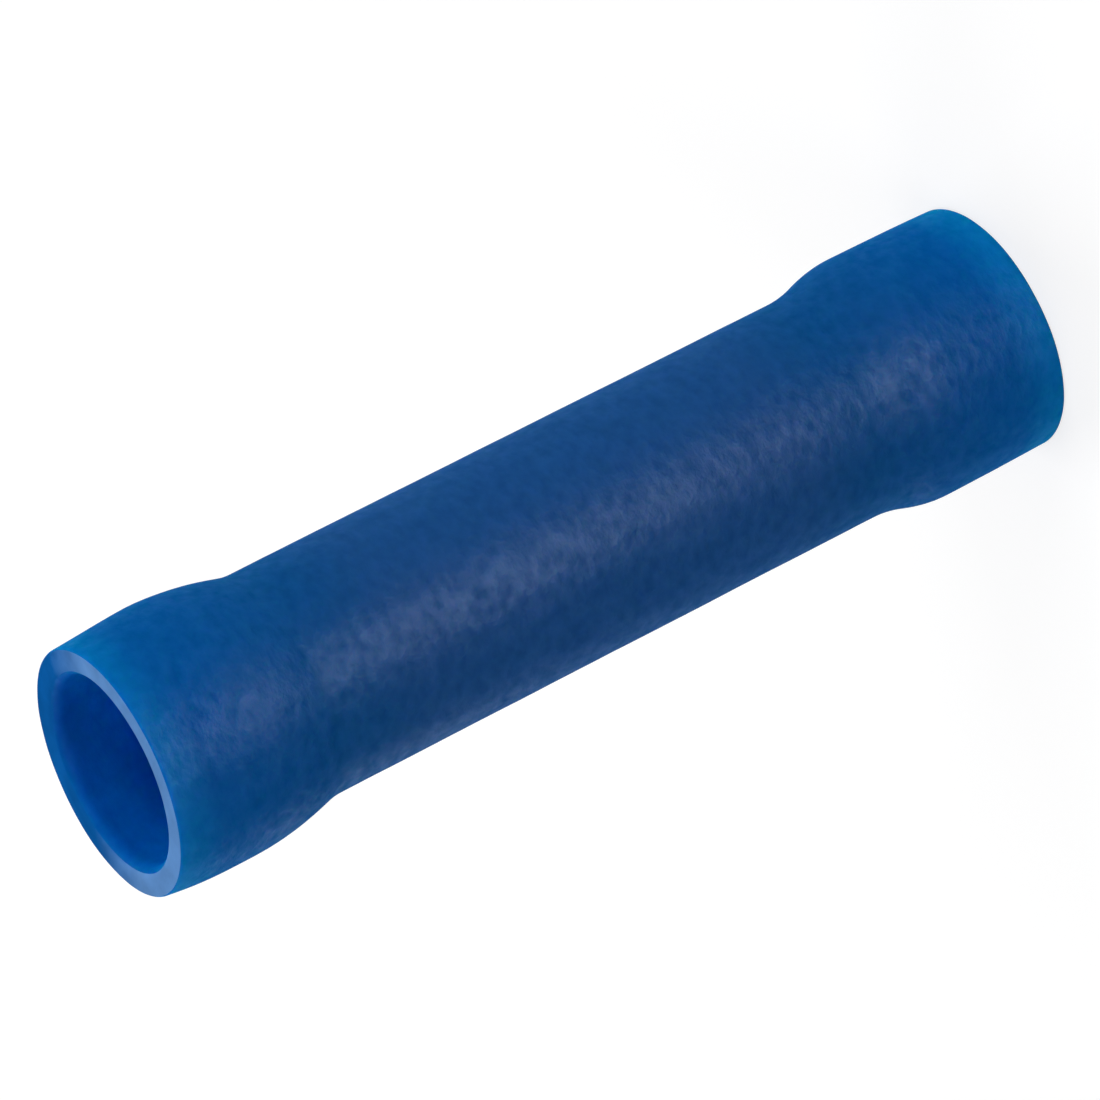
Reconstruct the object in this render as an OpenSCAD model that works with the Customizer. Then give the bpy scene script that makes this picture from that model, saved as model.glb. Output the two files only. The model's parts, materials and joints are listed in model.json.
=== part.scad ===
// Insulated butt splice connector for two wires of 1.5 to 2.5 mm2.
// A soft vinyl sleeve grips a tinned copper barrel. Each wire goes in at a mouth, its insulation
// stops in the flared end of the sleeve, and its bare strands run on into the barrel, up to the
// stop in the middle. A crimping tool then squeezes the waist.
// The connector stands on its lower rim. The axis is Z, and Z = 0 is the plane of that rim.
// Lengths and diameters build up from the barrel: bore, wall, clearance and sleeve, in that order.

/* [Barrel] */
// Length of the copper barrel
barrel_len = 15; // [12:0.1:18]
// Bore of the barrel, which takes the stripped wire
wire_bore_d = 2.3; // [1.9:0.05:2.7]
// Thickness of the barrel wall
barrel_wall = 0.9; // [0.6:0.05:1.1]
// Width of the chamfer that leads the strands into the bore
entry_chamfer = 0.3; // [0.1:0.05:0.35]
// Radius of the rounding on the outer edge of each barrel end
barrel_edge_r = 0.15; // [0.05:0.01:0.2]
// How far the wire stop stands into the bore
stop_depth = 0.45; // [0.3:0.05:0.6]
// Nose radius of the roller that forms the stop from outside
stop_nose_r = 0.6; // [0.4:0.05:0.9]

/* [Waist] */
// Radial gap drawn between the barrel and the sleeve that grips it
grip_clearance = 0.02; // [0.01:0.01:0.1]
// Thickness of the sleeve round the barrel
waist_wall = 0.85; // [0.6:0.05:1.1]
// How far the straight waist runs on past each end of the barrel
waist_overrun = 0.4; // [0:0.05:1]
// How far the seat inside the waist runs on past each end of the barrel
seat_overrun = 0.25; // [0.1:0.05:0.5]

/* [Mouths] */
// Inside diameter of both mouths, which take the insulation of the wires
mouth_d = 4.9; // [4.6:0.05:5.3]
// Length of the funnel inside each end, from the straight mouth down to the seat
funnel_len = 2.2; // [1.4:0.1:3]
// Share of the funnel that curves inwards before it levels out at the seat
funnel_share = 0.5; // [0.3:0.02:0.8]
// Radius of the rounding on the outer edge of each rim
rim_outer_r = 0.08; // [0.05:0.01:0.2]
// Radius of the rounding that leads the insulation in over the inner edge of each rim
rim_inner_r = 0.3; // [0.1:0.01:0.35]

/* [Upper end] */
// Thickness of the upper rim
upper_rim_wall = 0.75; // [0.6:0.01:0.9]
// How far the upper flare bellies out beyond its rim
upper_belly = 0.12; // [0.02:0.01:0.25]
// Length of the upper flare, from its rim to its widest place
upper_flare_len = 2.35; // [1.5:0.05:3.5]
// Length of the upper shoulder, from the widest place to the waist
upper_shoulder_len = 2.75; // [1.8:0.05:3.5]
// Share of the upper shoulder that rounds over before it turns in to the waist
upper_shoulder_share = 0.84; // [0.3:0.02:0.9]

/* [Lower end] */
// Thickness of the lower rim
lower_rim_wall = 0.77; // [0.6:0.01:0.9]
// How far the lower flare bellies out beyond its rim
lower_belly = 0.04; // [0.02:0.01:0.25]
// Length of the lower flare, from its rim to its widest place
lower_flare_len = 3.05; // [1.5:0.05:3.5]
// Length of the lower shoulder, from the widest place to the waist
lower_shoulder_len = 2.05; // [1.8:0.05:3.5]
// Share of the lower shoulder that rounds over before it turns in to the waist
lower_shoulder_share = 0.52; // [0.3:0.02:0.9]

/* [Hidden] */
$fn = 96;

// Steps in a rounded edge and in a long curve of a profile
edge_steps = 6;
curve_steps = 20;

// Radii, from the axis outwards
wire_bore_r = wire_bore_d / 2;
barrel_r = wire_bore_r + barrel_wall;
seat_r = barrel_r + grip_clearance;
waist_r = seat_r + waist_wall;
mouth_r = mouth_d / 2;

// Heights, from the lower rim upwards
waist_bottom = lower_flare_len + lower_shoulder_len;
barrel_bottom = waist_bottom + waist_overrun;
barrel_top = barrel_bottom + barrel_len;
waist_top = barrel_top + waist_overrun;
sleeve_len = waist_top + upper_shoulder_len + upper_flare_len;

// The stop is rolled in round the middle of the barrel and keeps the wall as thick as the rest.
// Groove and ridge are arcs about one centre, which lies this far from the axis.
stop_centre_r = wire_bore_r - stop_depth + barrel_wall + stop_nose_r;

// Points [r, z] of a quarter round about a centre, from one angle to another
function quarter_round(centre, radius, from, to) =
    [for (i = [0:edge_steps])
        let (a = from + (to - from) * i / edge_steps)
        centre + radius * [cos(a), sin(a)]];

// Points of an S from one [r, z] to another, level with the axis at both ends.
// It bends away over the given share of its length, and back over the rest.
function shoulder(from, to, share) =
    [for (i = [0:curve_steps])
        let (along = i / curve_steps,
             across = along < share
                 ? along * along / share
                 : 1 - (1 - along) * (1 - along) / (1 - share))
        [from.x + (to.x - from.x) * across, from.y + (to.y - from.y) * along]];

// Points of the gently bellied flare, from its rim to its widest place
function flare(rim, widest) =
    [for (i = [0:curve_steps])
        let (along = i / curve_steps,
             short_of_widest = (1 - along) * (1 - along))
        [widest.x + (rim.x - widest.x) * short_of_widest, rim.y + (widest.y - rim.y) * along]];

// Outside of one end of the sleeve, from its rim at z = 0 in to the waist
function end_outside(rim_wall, belly, flare_len, shoulder_len, share) =
    let (rim_r = mouth_r + rim_wall,
         widest = [rim_r + belly, flare_len],
         waist = [waist_r, flare_len + shoulder_len])
    concat(
        quarter_round([rim_r - rim_outer_r, rim_outer_r], rim_outer_r, -90, 0),
        flare([rim_r, rim_outer_r], widest),
        shoulder(widest, waist, share));

// Inside of one end of the sleeve, from its rim at z = 0 in to a barrel that starts at barrel_z
function end_inside(barrel_z) =
    let (seat = [seat_r, barrel_z - seat_overrun],
         funnel = [mouth_r, seat.y - funnel_len])
    concat(
        quarter_round([mouth_r + rim_inner_r, rim_inner_r], rim_inner_r, -90, -180),
        shoulder(funnel, seat, funnel_share));

// A profile turned end for end, with its rim at the top of the sleeve
function at_upper_end(points) =
    [for (p = points) [p.x, sleeve_len - p.y]];
function reversed(points) =
    [for (i = [len(points) - 1:-1:0]) points[i]];

// Soft vinyl sleeve: flared mouths, a waist that grips the barrel and a funnel inside each end
module insulating_sleeve() {
    lower_outside = end_outside(lower_rim_wall, lower_belly, lower_flare_len,
        lower_shoulder_len, lower_shoulder_share);
    upper_outside = end_outside(upper_rim_wall, upper_belly, upper_flare_len,
        upper_shoulder_len, upper_shoulder_share);
    color("#14508f")
    rotate_extrude()
    polygon(concat(
        lower_outside,
        reversed(at_upper_end(upper_outside)),
        at_upper_end(end_inside(sleeve_len - barrel_top)),
        reversed(end_inside(barrel_bottom))));
}

// Half section of the plain tube: rounded outer edges and a chamfered bore at each end
module tube_section() {
    edge_centre_r = barrel_r - barrel_edge_r;
    chamfer_r = wire_bore_r + entry_chamfer;
    polygon(concat(
        [[wire_bore_r, entry_chamfer], [chamfer_r, 0]],
        quarter_round([edge_centre_r, barrel_edge_r], barrel_edge_r, -90, 0),
        quarter_round([edge_centre_r, barrel_len - barrel_edge_r], barrel_edge_r, 0, 90),
        [[chamfer_r, barrel_len], [wire_bore_r, barrel_len - entry_chamfer]]));
}

// Circle about the centre of the rolled stop
module stop_circle(radius) {
    translate([stop_centre_r, barrel_len / 2])
        circle(radius);
}

// Tinned copper barrel: a tube with a groove rolled in at the middle, whose ridge stops both wires
module crimp_barrel() {
    middle_of_wall_r = wire_bore_r + barrel_wall / 2;
    color("#c9c7c1")
    translate([0, 0, barrel_bottom])
    rotate_extrude()
    difference() {
        union() {
            tube_section();
            intersection() {
                stop_circle(stop_nose_r + barrel_wall);
                square([middle_of_wall_r, barrel_len]);
            }
        }
        stop_circle(stop_nose_r);
    }
}

insulating_sleeve();
crimp_barrel();
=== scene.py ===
# %% [markdown]
# # A butt splice connector
# A butt splice joins two wires end to end. A blue vinyl sleeve with flared mouths grips a tinned
# copper barrel, and a crimping tool squeezes the barrel round the bare strands.
# The solids of both pieces are loaded first. They fix where everything is, in metres, with Z along
# the axis and Z = 0 under the lower rim. Each solid is then replaced by a finer, finished piece.

# %% Load the solids and note their box
import json
import math

import bpy
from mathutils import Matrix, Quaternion, Vector


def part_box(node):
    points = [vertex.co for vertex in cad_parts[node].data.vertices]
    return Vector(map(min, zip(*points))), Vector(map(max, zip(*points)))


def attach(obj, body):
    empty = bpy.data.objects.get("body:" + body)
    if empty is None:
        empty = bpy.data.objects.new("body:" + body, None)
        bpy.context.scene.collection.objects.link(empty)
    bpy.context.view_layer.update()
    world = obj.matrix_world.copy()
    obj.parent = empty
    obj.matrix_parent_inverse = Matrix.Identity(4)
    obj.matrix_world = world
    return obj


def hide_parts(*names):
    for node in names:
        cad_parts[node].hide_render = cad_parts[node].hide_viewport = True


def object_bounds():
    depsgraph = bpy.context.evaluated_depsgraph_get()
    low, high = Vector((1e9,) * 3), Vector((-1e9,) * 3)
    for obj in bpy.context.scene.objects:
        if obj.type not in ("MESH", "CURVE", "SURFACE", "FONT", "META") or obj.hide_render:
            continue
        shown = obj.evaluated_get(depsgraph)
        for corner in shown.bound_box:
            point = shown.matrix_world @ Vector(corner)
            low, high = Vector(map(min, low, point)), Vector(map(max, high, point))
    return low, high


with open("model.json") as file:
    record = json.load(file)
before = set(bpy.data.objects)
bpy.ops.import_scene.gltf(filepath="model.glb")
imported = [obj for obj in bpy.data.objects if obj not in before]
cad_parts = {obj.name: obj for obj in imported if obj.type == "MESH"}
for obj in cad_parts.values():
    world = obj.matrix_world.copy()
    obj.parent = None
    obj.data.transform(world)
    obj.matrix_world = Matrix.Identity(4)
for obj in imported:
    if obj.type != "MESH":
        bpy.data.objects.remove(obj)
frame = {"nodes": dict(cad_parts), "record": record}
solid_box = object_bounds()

MM = 0.001
lowest, highest = solid_box
middle = (lowest + highest) / 2
print("solids:", sorted(frame["nodes"]))
print("box:", [tuple(round(c / MM, 2) for c in corner) for corner in solid_box])

# %% [markdown]
# ## Camera
# The connector stands on its end here, but the photograph shows it lying down. So the camera keeps
# the angle between the line of sight and the connector's axis, and is rolled about that line
# until the upper mouth points to the lower left. A long lens far away gives the slight taper.

# %% Find the line of sight
TILT_FROM_AXIS = 66.85        # degrees between the line of sight and the axis of the connector
CAMERA_ROLL = -116.95         # degrees about the line of sight
CAMERA_DISTANCE = 198.4       # mm from the middle of the connector
FOCAL_PIXELS = 8227           # focal length in pixels of the photograph
PHOTO_WIDTH = 1100            # pixels
MIDDLE_IN_PHOTO = (556.0, 545.7)  # pixel where the middle of the connector lies

tilt = math.radians(TILT_FROM_AXIS)
to_camera = Vector((0, -math.sin(tilt), math.cos(tilt)))
turn = (-to_camera).to_track_quat("-Z", "Y") @ Quaternion((0, 0, 1), math.radians(CAMERA_ROLL))

# The camera aims beside the middle by as much as the photograph is off centre.
mm_per_pixel = CAMERA_DISTANCE / FOCAL_PIXELS
off_right = (MIDDLE_IN_PHOTO[0] - PHOTO_WIDTH / 2) * mm_per_pixel
off_up = (PHOTO_WIDTH / 2 - MIDDLE_IN_PHOTO[1]) * mm_per_pixel
aim = middle - turn @ Vector((off_right, off_up, 0)) * MM
print("one pixel of the photograph is", round(mm_per_pixel, 4), "mm")

# %% Place the camera
SENSOR = 36                   # mm
NEAREST_SEEN = 10             # mm from the camera

camera_data = bpy.data.cameras.new("camera")
camera_data.sensor_width = SENSOR
camera_data.lens = FOCAL_PIXELS / PHOTO_WIDTH * SENSOR
camera_data.clip_start = NEAREST_SEEN * MM
camera = bpy.data.objects.new("camera", camera_data)
camera.location = aim + to_camera * CAMERA_DISTANCE * MM
camera.rotation_mode = "QUATERNION"
camera.rotation_quaternion = turn
bpy.context.scene.collection.objects.link(camera)
bpy.context.scene.camera = camera
print("lens", round(camera_data.lens, 1), "mm, at", [round(c / MM, 1) for c in camera.location])

# %% [markdown]
# ## Colours and nodes
# Colours are written as the sRGB hex codes that a colour picker shows. Shaders calculate in linear
# light, so one function converts them. A second one adds a shader node with its settings and links.

# %% Two small helpers
def linear(hex_code):
    """An sRGB hex code as a linear colour with full alpha."""
    channels = [int(hex_code[i:i + 2], 16) / 255 for i in (1, 3, 5)]
    return [c / 12.92 if c <= 0.04045 else ((c + 0.055) / 1.055) ** 2.4 for c in channels] + [1.0]


def add_node(tree, kind, inputs=None, **settings):
    """Adds a node. An input that is another node's output is linked, and any other is set."""
    node = tree.nodes.new(kind)
    for name, value in settings.items():
        setattr(node, name, value)
    for socket, value in (inputs or {}).items():
        if isinstance(value, bpy.types.NodeSocket):
            tree.links.new(value, node.inputs[socket])
        else:
            node.inputs[socket].default_value = value
    return node


print("white is", linear("#FFFFFF"), "and mid grey is", [round(c, 3) for c in linear("#808080")])

# %% [markdown]
# ## Floor and surroundings
# The photograph has a plain white ground. White paint alone would never look quite white under
# soft light, so the floor is pale paint that takes a soft shadow, and a glow that only the camera
# and mirror-like surfaces see lifts it to full white. The surroundings light the object with plain
# grey, and show as white in the same way.

# %% Lay the floor
FLOOR_SIZE = 4.0              # m
FLOOR_PAINT = "#A6A6A6"
FLOOR_GLOW = 0.705            # added to the lit paint, so that the open floor just reaches white


def seen_directly(tree):
    """A factor of 1 for rays from the camera and for reflected or transmitted ones, else 0."""
    path = add_node(tree, "ShaderNodeLightPath")
    mirrored = add_node(tree, "ShaderNodeMath", operation="MAXIMUM",
                        inputs={0: path.outputs["Is Glossy Ray"], 1: path.outputs["Is Transmission Ray"]})
    seen = add_node(tree, "ShaderNodeMath", operation="MAXIMUM",
                    inputs={0: path.outputs["Is Camera Ray"], 1: mirrored.outputs[0]})
    return seen.outputs[0]


bpy.ops.object.select_all(action="DESELECT")
bpy.ops.mesh.primitive_plane_add(size=FLOOR_SIZE, location=(0, 0, lowest.z))
floor = bpy.context.object
floor.name = "floor"

floor_paint = bpy.data.materials.new("pale floor paint")
floor_paint.use_nodes = True
tree = floor_paint.node_tree
tree.nodes.clear()
paint = add_node(tree, "ShaderNodeBsdfDiffuse", {"Color": linear(FLOOR_PAINT)})
glow_strength = add_node(tree, "ShaderNodeMath", operation="MULTIPLY",
                         inputs={0: seen_directly(tree), 1: FLOOR_GLOW})
glow = add_node(tree, "ShaderNodeEmission", {"Strength": glow_strength.outputs[0]})
both = add_node(tree, "ShaderNodeAddShader", {0: paint.outputs[0], 1: glow.outputs[0]})
add_node(tree, "ShaderNodeOutputMaterial", {"Surface": both.outputs[0]})
floor.data.materials.append(floor_paint)
print("floor at", round(lowest.z / MM, 3), "mm")

# %% Light it from all round
SURROUND_LIGHT = 0.48         # strength of the light from all round
SURROUND_SEEN = 1.0           # white

world = bpy.data.worlds.new("white studio")
bpy.context.scene.world = world
world.use_nodes = True
tree = world.node_tree
tree.nodes.clear()
strength = add_node(tree, "ShaderNodeMapRange", {
    "Value": seen_directly(tree), "To Min": SURROUND_LIGHT, "To Max": SURROUND_SEEN})
sky = add_node(tree, "ShaderNodeBackground", {"Strength": strength.outputs[0]})
add_node(tree, "ShaderNodeOutputWorld", {"Surface": sky.outputs[0]})
bpy.context.scene.view_settings.view_transform = "Standard"
print("surroundings at", SURROUND_LIGHT)

# %% [markdown]
# ## Lamps
# A large soft lamp on the upper side gives the sleeve its light-to-dark turn, as in the photograph.
# It isn't mirrored, because the photograph shows no second sheen. Two weak lamps open the darker
# side, and one behind keeps the back from going black. Two narrow ones stand low and near and only
# show as reflections: one draws the long pale sheen down the side that faces the camera, and one
# the thin light line along the lower edge, where the white ground throws light back.

# %% Hang six lamps
COOL_WHITE = "#DDEBFF"


def add_lamp(name, azimuth, elevation, distance, width, height, watts):
    """An area lamp that faces the middle of the connector. Azimuth 0 is on the camera's side."""
    a, e = math.radians(azimuth), math.radians(elevation)
    towards = Vector((math.sin(a) * math.cos(e), -math.cos(a) * math.cos(e), math.sin(e)))
    data = bpy.data.lights.new(name, "AREA")
    data.shape = "RECTANGLE"
    data.size = width
    data.size_y = height
    data.energy = watts
    lamp = bpy.data.objects.new(name, data)
    lamp.location = middle + towards * distance
    lamp.rotation_mode = "QUATERNION"
    lamp.rotation_quaternion = (-towards).to_track_quat("-Z", "Y")
    bpy.context.scene.collection.objects.link(lamp)
    return lamp


key = add_lamp("key_lamp", azimuth=48, elevation=3, distance=0.45, width=0.30, height=0.30, watts=2.05)
fill = add_lamp("fill_lamp", azimuth=-35, elevation=15, distance=0.40, width=0.20, height=0.20, watts=0.42)
bounce = add_lamp("ground_bounce", azimuth=-130, elevation=20, distance=0.40,
                  width=0.25, height=0.25, watts=0.40)
back = add_lamp("back_lamp", azimuth=165, elevation=25, distance=0.45, width=0.30, height=0.30, watts=1.0)
sheen = add_lamp("sheen_lamp", azimuth=-5, elevation=-14.5, distance=0.045,
                 width=0.030, height=0.003, watts=0.085)
edge = add_lamp("edge_lamp", azimuth=-128, elevation=-13, distance=0.05,
                width=0.030, height=0.003, watts=0.009)
for lamp in (key, back):
    lamp.visible_glossy = False
for lamp in (sheen, edge):
    lamp.data.color = linear(COOL_WHITE)[:3]
    lamp.visible_diffuse = False
    lamp.visible_camera = False
for lamp in (key, fill, bounce, back, sheen, edge):
    print(lamp.name, round(lamp.data.energy, 3), "W")

# %% [markdown]
# ## The outline of the sleeve
# The sleeve is a body of revolution, so one outline in radius and height describes it. Its sizes
# are real ones in millimetres. The mouths and the length come from the solids, and the rest is
# worked out from them. Three curves do all the work: a quarter round for an edge, a belly for a
# flare, and an S for a shoulder.

# %% Curves of an outline
SAME_POINT = 1e-5             # mm, nearer than this two points are one


def quarter_round(centre, radius, start, end, steps=6):
    """Points of a rounded edge about a centre, between two angles in degrees."""
    angles = [math.radians(start + (end - start) * i / steps) for i in range(steps + 1)]
    return [(centre[0] + radius * math.cos(a), centre[1] + radius * math.sin(a)) for a in angles]


def shoulder(start, end, share, steps=24):
    """Points of an S that bends away over a share of its length and bends back over the rest."""
    points = []
    for i in range(steps + 1):
        along = i / steps
        across = along ** 2 / share if along < share else 1 - (1 - along) ** 2 / (1 - share)
        points.append((start[0] + (end[0] - start[0]) * across, start[1] + (end[1] - start[1]) * along))
    return points


def belly(rim, widest, steps=10):
    """Points of a gently bellied flare, from its rim in to its widest place."""
    points = []
    for i in range(steps + 1):
        along = i / steps
        radius = widest[0] + (rim[0] - widest[0]) * (1 - along) ** 2
        points.append((radius, rim[1] + (widest[1] - rim[1]) * along))
    return points


def straight(radius, start, end, spacing):
    """Points along a straight run of one radius, about the given spacing apart."""
    steps = max(1, round(abs(end - start) / spacing))
    return [(radius, start + (end - start) * i / steps) for i in range(steps + 1)]


def joined(*runs):
    """Runs of points as one outline, without the points that two runs share."""
    outline = [runs[0][0]]
    for run in runs:
        outline += [p for p in run if math.dist(p, outline[-1]) > SAME_POINT]
    return outline


def upside_down(points, length):
    """An outline turned end for end, from its far end back."""
    return [(r, length - z) for r, z in reversed(points)]


print("a quarter round has", len(quarter_round((0, 0), 1, 0, 90)), "points")

# %% Sizes of the sleeve
mounts = {m["name"]: m for m in frame["record"]["mounts"]}
SLEEVE_LENGTH = (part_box("insulating_sleeve")[1].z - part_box("insulating_sleeve")[0].z) / MM
MOUTH_R = mounts["insulation_mouth_upper"]["dims"]["r_mm"]
BARREL_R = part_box("crimp_barrel")[1].x / MM
BARREL_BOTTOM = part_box("crimp_barrel")[0].z / MM
BARREL_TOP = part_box("crimp_barrel")[1].z / MM
SEAT_GAP = 0.02               # between the barrel and the seat that grips it
SEAT_R = BARREL_R + SEAT_GAP
WAIST_WALL = 0.85
WAIST_R = SEAT_R + WAIST_WALL
SEAT_OVERRUN = 0.25           # how far the seat runs on past each end of the barrel
FUNNEL_LENGTH = 2.2
FUNNEL_SHARE = 0.5            # share of the funnel's length that bends away from the mouth
RIM_OUTER_R = 0.08            # rounding of the outer edge of a rim
RIM_INNER_R = 0.3             # rounding that leads the insulation in over the inner edge
UPPER_END = dict(rim_wall=0.75, bulge=0.12, flare_length=2.35, shoulder_length=2.75, share=0.84)
LOWER_END = dict(rim_wall=0.77, bulge=0.04, flare_length=3.05, shoulder_length=2.05, share=0.52)
print("sleeve", round(SLEEVE_LENGTH, 2), "mm long, waist", round(2 * WAIST_R, 2), "mm across")

# %% Outline of the sleeve
RING_SPACING = 0.25           # mm along straight runs that show
HIDDEN_SPACING = 1.5          # mm along the seat, which the barrel hides


def end_outside(rim_wall, bulge, flare_length, shoulder_length, share):
    """Outside of one end, from its rim at height 0 in to the waist."""
    rim_r = MOUTH_R + rim_wall
    widest = (rim_r + bulge, flare_length)
    return joined(
        quarter_round((rim_r - RIM_OUTER_R, RIM_OUTER_R), RIM_OUTER_R, -90, 0),
        belly((rim_r, RIM_OUTER_R), widest),
        shoulder(widest, (WAIST_R, flare_length + shoulder_length), share))


def end_inside(barrel_start):
    """Inside of one end, from its rim at height 0 in to the seat of the barrel."""
    seat = (SEAT_R, barrel_start - SEAT_OVERRUN)
    funnel = (MOUTH_R, seat[1] - FUNNEL_LENGTH)
    return joined(
        quarter_round((MOUTH_R + RIM_INNER_R, RIM_INNER_R), RIM_INNER_R, -90, -180, steps=8),
        straight(MOUTH_R, RIM_INNER_R, funnel[1], RING_SPACING),
        shoulder(funnel, seat, FUNNEL_SHARE))


lower_outside = end_outside(**LOWER_END)
upper_outside = upside_down(end_outside(**UPPER_END), SLEEVE_LENGTH)
upper_inside = [(r, SLEEVE_LENGTH - z) for r, z in end_inside(SLEEVE_LENGTH - BARREL_TOP)]
lower_inside = list(reversed(end_inside(BARREL_BOTTOM)))
sleeve_outline = joined(
    lower_outside,
    straight(WAIST_R, lower_outside[-1][1], upper_outside[0][1], RING_SPACING),
    upper_outside,
    upper_inside,
    straight(SEAT_R, upper_inside[-1][1], lower_inside[0][1], HIDDEN_SPACING),
    lower_inside)
widest_r = max(r for r, z in sleeve_outline)
print("sleeve outline:", len(sleeve_outline), "points, widest", round(2 * widest_r, 2), "mm")

# %% [markdown]
# ## Walking a circle along an outline
# A lathe shape can be spun from its outline or built up from rings. Here a circle starts at the
# first point, and each step extrudes it to the next height and scales it to the next radius, up
# the outside and down the inside. A bridge between the last ring and the first one closes the wall.

# %% Build the sleeve
SEGMENTS = 180
SMOOTH_ANGLE = math.radians(35)  # edges that bend more than this stay sharp


def turned_piece(name, outline):
    """A closed body of revolution from an outline of (radius, height) in mm."""
    bpy.ops.object.select_all(action="DESELECT")
    radius, height = outline[0]
    bpy.ops.mesh.primitive_circle_add(vertices=SEGMENTS, radius=radius * MM,
                                      location=(0, 0, height * MM), enter_editmode=True)
    for next_radius, next_height in outline[1:]:
        rise = (next_height - height) * MM
        bpy.ops.mesh.extrude_region_move(TRANSFORM_OT_translate={"value": (0, 0, rise)})
        grow = next_radius / radius
        bpy.ops.transform.resize(value=(grow, grow, 1), center_override=(0, 0, next_height * MM))
        radius, height = next_radius, next_height
    bpy.ops.mesh.select_all(action="DESELECT")
    bpy.ops.mesh.select_non_manifold()
    bpy.ops.mesh.bridge_edge_loops()
    bpy.ops.mesh.select_all(action="SELECT")
    bpy.ops.mesh.normals_make_consistent(inside=False)
    bpy.ops.object.mode_set(mode="OBJECT")
    bpy.ops.object.transform_apply(location=True, rotation=True, scale=True)
    bpy.ops.object.shade_smooth_by_angle(angle=SMOOTH_ANGLE)
    piece = bpy.context.object
    piece.name = name
    print(name, len(piece.data.polygons), "faces, size", [round(c / MM, 3) for c in piece.dimensions])
    return piece


sleeve = turned_piece("vinyl_sleeve", sleeve_outline)

# %% [markdown]
# ## Cut faces
# A blade cuts the real tube to length, so the rims are cut faces. They could be picked ring by
# ring, but their normals tell them as well: on a cut they lie along the axis. The cut faces get a
# second material slot.

# %% Mark the cut faces
CUT_NORMAL = 0.85             # a face belongs to the cut if its normal is this close to the axis
SKIN, CUT = 0, 1              # material slots

bpy.ops.object.select_all(action="DESELECT")
sleeve.select_set(True)
bpy.context.view_layer.objects.active = sleeve
for slot in (SKIN, CUT):
    bpy.ops.object.material_slot_add()
for face in sleeve.data.polygons:
    face.material_index = CUT if abs(face.normal.z) > CUT_NORMAL else SKIN
print("cut faces:", sum(face.material_index == CUT for face in sleeve.data.polygons))

# %% [markdown]
# ## A leaning mouth
# In the photograph the upper mouth isn't quite square to the axis. Its rings are tipped about
# their highest place by two rotations. Proportional editing lets the turn fade out along the
# flare, and the highest place stays where it is, so nothing rises past the solid.

# %% Tip the upper mouth
LEAN_TO_CAMERA = 1.47         # degrees
LEAN_TO_SIDE = 1.84           # degrees, towards +X
HIGHEST_RIM = (-2.5, 2.0)     # mm across, where the leaning rim keeps its full height
LEAN_FADES_OVER = 2.3         # mm along the flare
BELOW_EDGE = 0.01             # mm, so that the last ring of the rounded edge is picked too

bpy.ops.object.mode_set(mode="EDIT")
bpy.ops.mesh.select_mode(type="VERT")
bpy.ops.mesh.select_all(action="DESELECT")
bpy.ops.object.mode_set(mode="OBJECT")
for vertex in sleeve.data.vertices:
    vertex.select = vertex.co.z > highest.z - (RIM_INNER_R + BELOW_EDGE) * MM
bpy.ops.object.mode_set(mode="EDIT")
pivot = (HIGHEST_RIM[0] * MM, HIGHEST_RIM[1] * MM, highest.z)
for axis, degrees in (("X", -LEAN_TO_CAMERA), ("Y", -LEAN_TO_SIDE)):
    bpy.ops.transform.rotate(value=math.radians(degrees), orient_axis=axis, orient_type="GLOBAL",
                             center_override=pivot, use_proportional_edit=True,
                             proportional_edit_falloff="SMOOTH", proportional_size=LEAN_FADES_OVER * MM)
bpy.ops.object.mode_set(mode="OBJECT")
print("tipped rings:", sum(vertex.select for vertex in sleeve.data.vertices) // SEGMENTS)

# %% [markdown]
# ## Unevenness
# No moulding in soft vinyl is quite true. Two Displace modifiers push the skin in by hundredths of
# a millimetre, a slow swell and a finer ripple. They only push inwards, so nothing grows past the
# solid.

# %% Push the skin in a little
RIPPLES = (("slow_swell", 2.5, 0.02), ("fine_ripple", 0.7, 0.006))  # name, size and depth in mm

for name, ripple_size, ripple_depth in RIPPLES:
    ripple = bpy.data.textures.new(name, "CLOUDS")
    ripple.noise_scale = ripple_size * MM
    push = sleeve.modifiers.new(name, "DISPLACE")
    push.texture = ripple
    push.texture_coords = "LOCAL"
    push.mid_level = 1.0
    push.strength = ripple_depth * MM
    bpy.ops.object.modifier_apply(modifier=name)
bpy.ops.object.shade_smooth_by_angle(angle=SMOOTH_ANGLE)
print(sleeve.name, "now has the size", [round(c / MM, 3) for c in sleeve.dimensions])

# %% [markdown]
# ## The copper barrel
# The barrel is a cut length of thick tube. Its outer edges are rounded, its bore is chamfered to
# lead the strands in, and a groove rolled in round the middle raises a ridge inside, which
# stops each wire half way. It is turned in the same way as the sleeve.

# %% Sizes of the barrel
BORE_R = mounts["wire_socket_upper"]["dims"]["r_mm"]
BARREL_LENGTH = BARREL_TOP - BARREL_BOTTOM
BARREL_WALL = BARREL_R - BORE_R
ENTRY_CHAMFER = 0.3
BARREL_EDGE_R = 0.15
STOP_DEPTH = 0.45
STOP_NOSE_R = 0.6             # nose of the roller that presses the stop in
STOP_CENTRE = (BORE_R - STOP_DEPTH + BARREL_WALL + STOP_NOSE_R, BARREL_LENGTH / 2)
print("barrel", round(BARREL_LENGTH, 2), "mm long, wall", round(BARREL_WALL, 2), "mm")

# %% Build the barrel
def stop_arc(radius, meets_r, steps):
    """The part of a circle about the centre of the stop that lies inside a radius, from below."""
    half = math.degrees(math.acos((STOP_CENTRE[0] - meets_r) / radius))
    return quarter_round(STOP_CENTRE, radius, 180 + half, 180 - half, steps)


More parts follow.
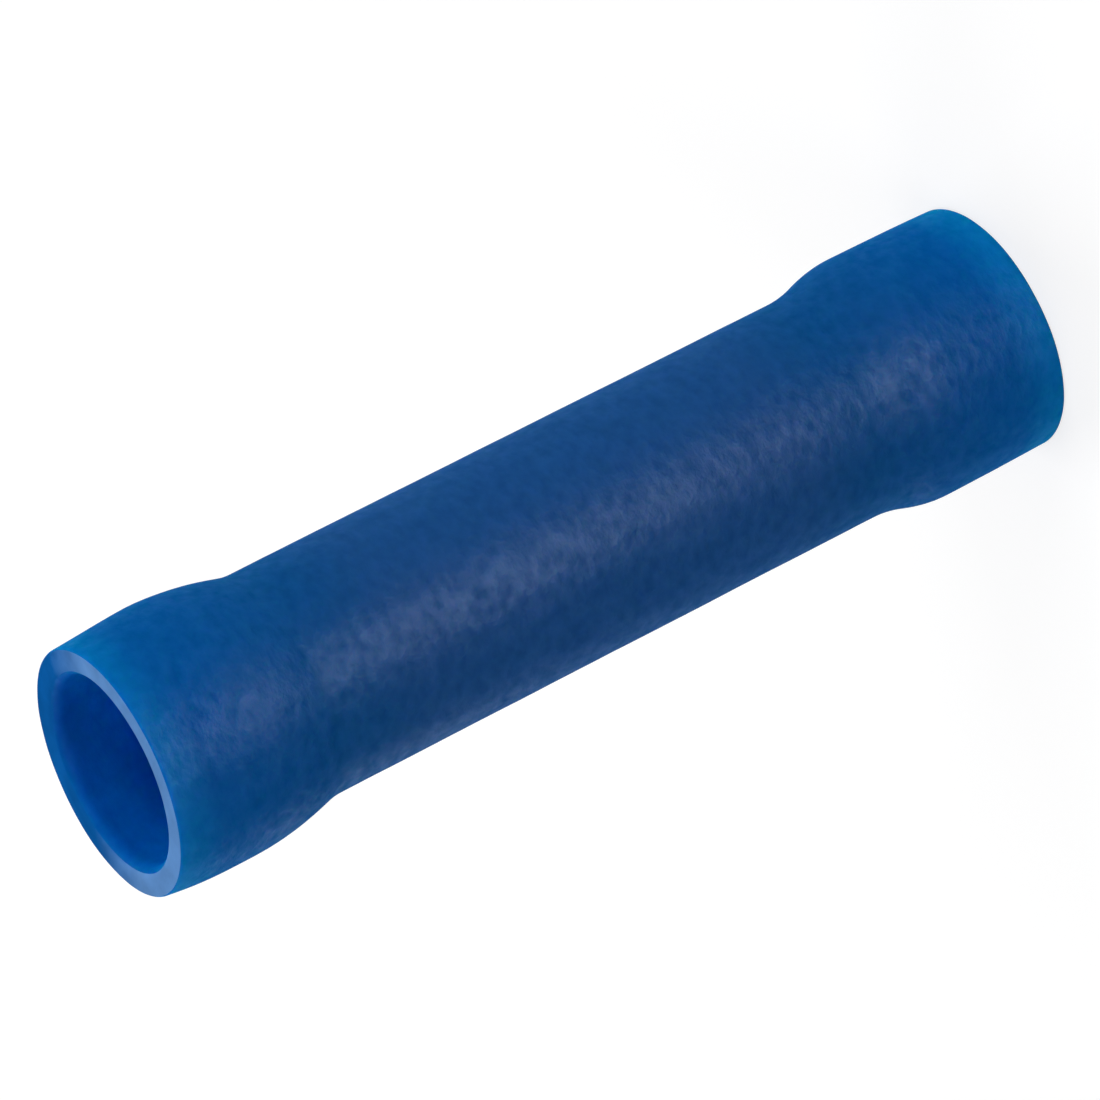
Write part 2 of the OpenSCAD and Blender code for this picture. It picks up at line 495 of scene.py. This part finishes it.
outer_edge = quarter_round((BARREL_R - BARREL_EDGE_R, BARREL_EDGE_R), BARREL_EDGE_R, -90, 0)
groove = stop_arc(STOP_NOSE_R, BARREL_R, steps=16)
ridge = stop_arc(STOP_NOSE_R + BARREL_WALL, BORE_R, steps=20)
chamfer = [(BORE_R, ENTRY_CHAMFER), (BORE_R + ENTRY_CHAMFER, 0)]
half_outside = joined(outer_edge, straight(BARREL_R, BARREL_EDGE_R, groove[0][1], HIDDEN_SPACING))
half_inside = joined(straight(BORE_R, ridge[0][1], ENTRY_CHAMFER, RING_SPACING), chamfer)
barrel_outside = joined(half_outside, groove, upside_down(half_outside, BARREL_LENGTH))
barrel_inside = joined(upside_down(half_inside, BARREL_LENGTH), list(reversed(ridge)), half_inside)
barrel_outline = [(r, z + BARREL_BOTTOM) for r, z in joined(barrel_outside, barrel_inside)]
barrel = turned_piece("tinned_barrel", barrel_outline)

# %% [markdown]
# ## Blues of the vinyl, with painted light
# The sleeve is soft PVC, coloured through, in a deep blue. A little light travels inside it, and
# that light is painted into the colour: the thin flares are painted lighter and purer than the
# waist, which has the barrel behind it, and lightest beside the rims. Inside the mouths the blue is
# painted darker just inside and brighter deeper in, where light comes in through the wall. Shader
# nodes work these out from two distances: along the axis, and from the axis, which tells the inside from
# the outside.

# %% Distances on the sleeve
HALF_LENGTH = SLEEVE_LENGTH / 2

vinyl = bpy.data.materials.new("moulded satin vinyl")
vinyl.use_nodes = True
tree = vinyl.node_tree
tree.nodes.clear()
place = add_node(tree, "ShaderNodeTexCoord").outputs["Object"]
height = add_node(tree, "ShaderNodeSeparateXYZ", {0: place}).outputs["Z"]
rise = add_node(tree, "ShaderNodeMath", {0: height, 1: middle.z}, operation="SUBTRACT")
from_middle = add_node(tree, "ShaderNodeMath", {0: rise.outputs[0]}, operation="ABSOLUTE")
below_rim = add_node(tree, "ShaderNodeMath", operation="SUBTRACT",
                     inputs={0: HALF_LENGTH * MM, 1: from_middle.outputs[0]})
flat = add_node(tree, "ShaderNodeVectorMath", {0: place, 1: (1, 1, 0)}, operation="MULTIPLY")
from_axis = add_node(tree, "ShaderNodeVectorMath", {0: flat.outputs[0]}, operation="LENGTH")
inside = add_node(tree, "ShaderNodeMapRange", interpolation_type="SMOOTHSTEP", inputs={
    "Value": from_axis.outputs["Value"],
    "From Min": (MOUTH_R + RIM_INNER_R) * MM, "From Max": MOUTH_R * MM})
print(vinyl.name, "turns from outside to inside over", RIM_INNER_R, "mm")

# %% Mix the blues and the painted light
PAINTED_RIM_GLOW = 1.3                # mm beside a rim that is painted lighter, a painted glow of light from the cut face
OUTSIDE_BLUES_AND_PAINTED_GLOW = [             # mm from the middle, and the blue there
    (5.5, "#164881"),         # the waist, over the barrel
    (7.4, "#094882"),         # near the ends of the barrel
    (10.0, "#054D8D"),        # the shoulders, past the barrel, painted a little lighter
    (HALF_LENGTH - PAINTED_RIM_GLOW, "#005195"),  # the open flares, painted lighter and purer for light through the thin wall
    (HALF_LENGTH, "#006EB0"),  # beside a rim, a painted glow
]
INSIDE_BLUES_AND_PAINTED_LIGHT = [              # mm below a rim, and the blue there
    (0.1, "#0058A8"),         # the rounded inner edge
    (0.5, "#004CA0"),         # just inside a mouth, painted shade
    (1.9, "#0072D8"),         # further in, painted brighter for light that comes in through the wall
]

# The ramps paint the glow and shade listed above into the base colour.
ramps = []
for distance, stops in ((from_middle, OUTSIDE_BLUES_AND_PAINTED_GLOW), (below_rim, INSIDE_BLUES_AND_PAINTED_LIGHT)):
    first, last = stops[0][0], stops[-1][0]
    share = add_node(tree, "ShaderNodeMapRange", {
        "Value": distance.outputs[0], "From Min": first * MM, "From Max": last * MM})
    ramp = add_node(tree, "ShaderNodeValToRGB", {"Fac": share.outputs[0]})
    shades = ramp.color_ramp.elements
    shades[0].color = linear(stops[0][1])
    shades[1].color = linear(stops[-1][1])
    for stop, hex_code in stops[1:-1]:
        shades.new((stop - first) / (last - first)).color = linear(hex_code)
    ramps.append(ramp)
    print("blues from", round(first, 2), "to", round(last, 2), "mm:", len(shades))
blue = add_node(tree, "ShaderNodeMix", data_type="RGBA", inputs={
    "Factor": inside.outputs[0], 6: ramps[0].outputs[0], 7: ramps[1].outputs[0]})

# %% [markdown]
# ## Skin of the vinyl
# The mould leaves a fine satin skin, with a broad, dull sheen that is blotchy close up. A noise as
# coarse as the blotches changes the tone and the relief a little, and a finer one adds the grain.
# The sheen is a thin coat that is missing here and there. A coat keeps the colour under it pure,
# and doesn't glare at a flat angle as a lowered specular level would.

# %% Moulded satin vinyl
BLOTCH_SIZE = 0.40            # mm
BLOTCH_SQUEEZE = (1, 1, 1.4)  # blotches are shorter along the axis
BLOTCH_TONE = {"To Min": 0.91, "To Max": 1.09}
BLOTCH_COAT = {"To Min": 0.022, "To Max": 0.094}
BLOTCH_RELIEF = {"Strength": 0.6, "Distance": 0.06 * MM}
GRAIN_SIZE = 0.12             # mm, grit of the mould's satin surface
GRAIN_RELIEF = {"Strength": 0.3, "Distance": 0.02 * MM}
MOST_NOISE = {"From Min": 0.3, "From Max": 0.7}  # nearly all values of a noise lie between these
LIGHT_TRAVEL = 0.6            # mm that blue light travels inside the vinyl
RED_GREEN_BLUE = (0.1, 0.25, 1.0)  # shares of that way for each colour of light
PVC_IOR = 1.53

squeezed = add_node(tree, "ShaderNodeMapping", {"Vector": place, "Scale": BLOTCH_SQUEEZE})
blotches = add_node(tree, "ShaderNodeTexNoise", {
    "Vector": squeezed.outputs[0], "Scale": 1 / (BLOTCH_SIZE * MM), "Detail": 4.0})
tone = add_node(tree, "ShaderNodeMapRange", {"Value": blotches.outputs[0], **MOST_NOISE, **BLOTCH_TONE})
coat = add_node(tree, "ShaderNodeMapRange", {"Value": blotches.outputs[0], **MOST_NOISE, **BLOTCH_COAT})
coloured = add_node(tree, "ShaderNodeHueSaturation", {"Color": blue.outputs[2], "Value": tone.outputs[0]})
grain = add_node(tree, "ShaderNodeTexNoise", {
    "Vector": place, "Scale": 1 / (GRAIN_SIZE * MM), "Detail": 3.0})
coarse = add_node(tree, "ShaderNodeBump", {"Height": blotches.outputs[0], **BLOTCH_RELIEF})
fine = add_node(tree, "ShaderNodeBump", {
    "Height": grain.outputs[0], "Normal": coarse.outputs[0], **GRAIN_RELIEF})
skin = add_node(tree, "ShaderNodeBsdfPrincipled", {
    "Base Color": coloured.outputs[0], "Roughness": 0.5, "Normal": fine.outputs[0],
    "IOR": PVC_IOR, "Specular IOR Level": 0.0,
    "Coat Weight": coat.outputs[0], "Coat Roughness": 0.46, "Coat Normal": fine.outputs[0],
    "Subsurface Weight": 1.0, "Subsurface Radius": RED_GREEN_BLUE, "Subsurface Scale": LIGHT_TRAVEL * MM})
add_node(tree, "ShaderNodeOutputMaterial", {"Surface": skin.outputs[0]})
sleeve.material_slots[SKIN].material = vinyl
print(vinyl.name, "with grain of", GRAIN_SIZE, "mm")

# %% [markdown]
# ## The cut face of the vinyl
# Where the blade went through, the vinyl is matt and a smooth blue. On the side that faces
# the camera the rim is painted pale: a painted reflection, not a change in the vinyl. The change
# follows one way across the tube, made ragged by noise.

# %% Knife-cut vinyl
CUT_BLUE = "#0D5EAA"          # the cut face's own blue, away from the painted reflection
PAINTED_REFLECTION_BLUE = "#6293D0"         # painted reflection, pale on the side of the rim that faces the camera
PAINTED_REFLECTION_SIDE = (-0.5, -0.866, 0)  # the way across the tube towards the painted reflection
PAINTED_REFLECTION_FROM = -1.1             # mm along that way from the axis, where the painted reflection starts
PAINTED_REFLECTION_FULL = 0.9
RAGGED = 1.0                  # mm that the change wanders
PATCH_SIZE = 1.2              # mm
PATCH_TONE = {"To Min": 0.8, "To Max": 1.15}
TEAR_SIZE = 0.15              # mm, tears left by the blade
TEAR_RELIEF = {"Strength": 0.5, "Distance": 0.03 * MM}

cut_vinyl = bpy.data.materials.new("knife-cut vinyl")
cut_vinyl.use_nodes = True
tree = cut_vinyl.node_tree
tree.nodes.clear()
place = add_node(tree, "ShaderNodeTexCoord").outputs["Object"]
patches = add_node(tree, "ShaderNodeTexNoise", {
    "Vector": place, "Scale": 1 / (PATCH_SIZE * MM), "Detail": 3.0})
tone = add_node(tree, "ShaderNodeMapRange", {"Value": patches.outputs[0], **MOST_NOISE, **PATCH_TONE})
# Painted reflection: the rim's blue turns pale towards the side that faces the camera.
toward_painted_reflection = add_node(tree, "ShaderNodeVectorMath", {0: place, 1: PAINTED_REFLECTION_SIDE}, operation="DOT_PRODUCT")
ragged = add_node(tree, "ShaderNodeMath", operation="MULTIPLY_ADD",
                  inputs={0: patches.outputs[0], 1: RAGGED * MM, 2: toward_painted_reflection.outputs["Value"]})
painted_reflection_share = add_node(tree, "ShaderNodeMapRange", {
    "Value": ragged.outputs[0], "From Min": PAINTED_REFLECTION_FROM * MM, "From Max": PAINTED_REFLECTION_FULL * MM})
blue = add_node(tree, "ShaderNodeMix", data_type="RGBA", inputs={
    "Factor": painted_reflection_share.outputs[0], 6: linear(CUT_BLUE), 7: linear(PAINTED_REFLECTION_BLUE)})
coloured = add_node(tree, "ShaderNodeHueSaturation", {"Color": blue.outputs[2], "Value": tone.outputs[0]})
tears = add_node(tree, "ShaderNodeTexNoise", {
    "Vector": place, "Scale": 1 / (TEAR_SIZE * MM), "Detail": 3.0})
bump = add_node(tree, "ShaderNodeBump", {"Height": tears.outputs[0], **TEAR_RELIEF})
cut_face = add_node(tree, "ShaderNodeBsdfPrincipled", {
    "Base Color": coloured.outputs[0], "Roughness": 0.7, "Normal": bump.outputs[0],
    "IOR": PVC_IOR, "Specular IOR Level": 0.0})
add_node(tree, "ShaderNodeOutputMaterial", {"Surface": cut_face.outputs[0]})
sleeve.material_slots[CUT].material = cut_vinyl
print(cut_vinyl.name, "with tears of", TEAR_SIZE, "mm")

# %% [markdown]
# ## Tinned copper
# The barrel is drawn copper tube with a thin coat of tin: a soft, greyish white metal with fine
# lines along the draw and a slightly cloudy gloss. The lines are a noise stretched along the axis.

# %% Tin plate on drawn tube
TIN = "#C9C7C1"
DRAW_LINE = 0.15              # mm between draw lines
DRAW_STRETCH = (1, 1, 0.04)   # the lines run on along the axis
DRAW_RELIEF = {"Strength": 0.2, "Distance": 0.01 * MM}
CLOUD_SIZE = 1.2              # mm
CLOUD_TONE = {"To Min": 0.9, "To Max": 1.05}
CLOUD_ROUGHNESS = {"To Min": 0.25, "To Max": 0.42}

tin = bpy.data.materials.new("tin plate on drawn copper tube")
tin.use_nodes = True
tree = tin.node_tree
tree.nodes.clear()
place = add_node(tree, "ShaderNodeTexCoord").outputs["Object"]
stretched = add_node(tree, "ShaderNodeMapping", {"Vector": place, "Scale": DRAW_STRETCH})
lines = add_node(tree, "ShaderNodeTexNoise", {
    "Vector": stretched.outputs[0], "Scale": 1 / (DRAW_LINE * MM), "Detail": 3.0})
clouds = add_node(tree, "ShaderNodeTexNoise", {
    "Vector": place, "Scale": 1 / (CLOUD_SIZE * MM), "Detail": 3.0})
tone = add_node(tree, "ShaderNodeMapRange", {"Value": clouds.outputs[0], **CLOUD_TONE})
coloured = add_node(tree, "ShaderNodeHueSaturation", {"Color": linear(TIN), "Value": tone.outputs[0]})
rough = add_node(tree, "ShaderNodeMapRange", {"Value": clouds.outputs[0], **CLOUD_ROUGHNESS})
bump = add_node(tree, "ShaderNodeBump", {"Height": lines.outputs[0], **DRAW_RELIEF})
plate = add_node(tree, "ShaderNodeBsdfPrincipled", {
    "Base Color": coloured.outputs[0], "Metallic": 1.0,
    "Roughness": rough.outputs[0], "Normal": bump.outputs[0]})
add_node(tree, "ShaderNodeOutputMaterial", {"Surface": plate.outputs[0]})
barrel.data.materials.append(tin)
print(tin.name, "with draw lines of", DRAW_LINE, "mm")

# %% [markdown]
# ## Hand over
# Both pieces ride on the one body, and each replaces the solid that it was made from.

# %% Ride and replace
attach(sleeve, "root")
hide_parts("insulating_sleeve")
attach(barrel, "root")
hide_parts("crimp_barrel")
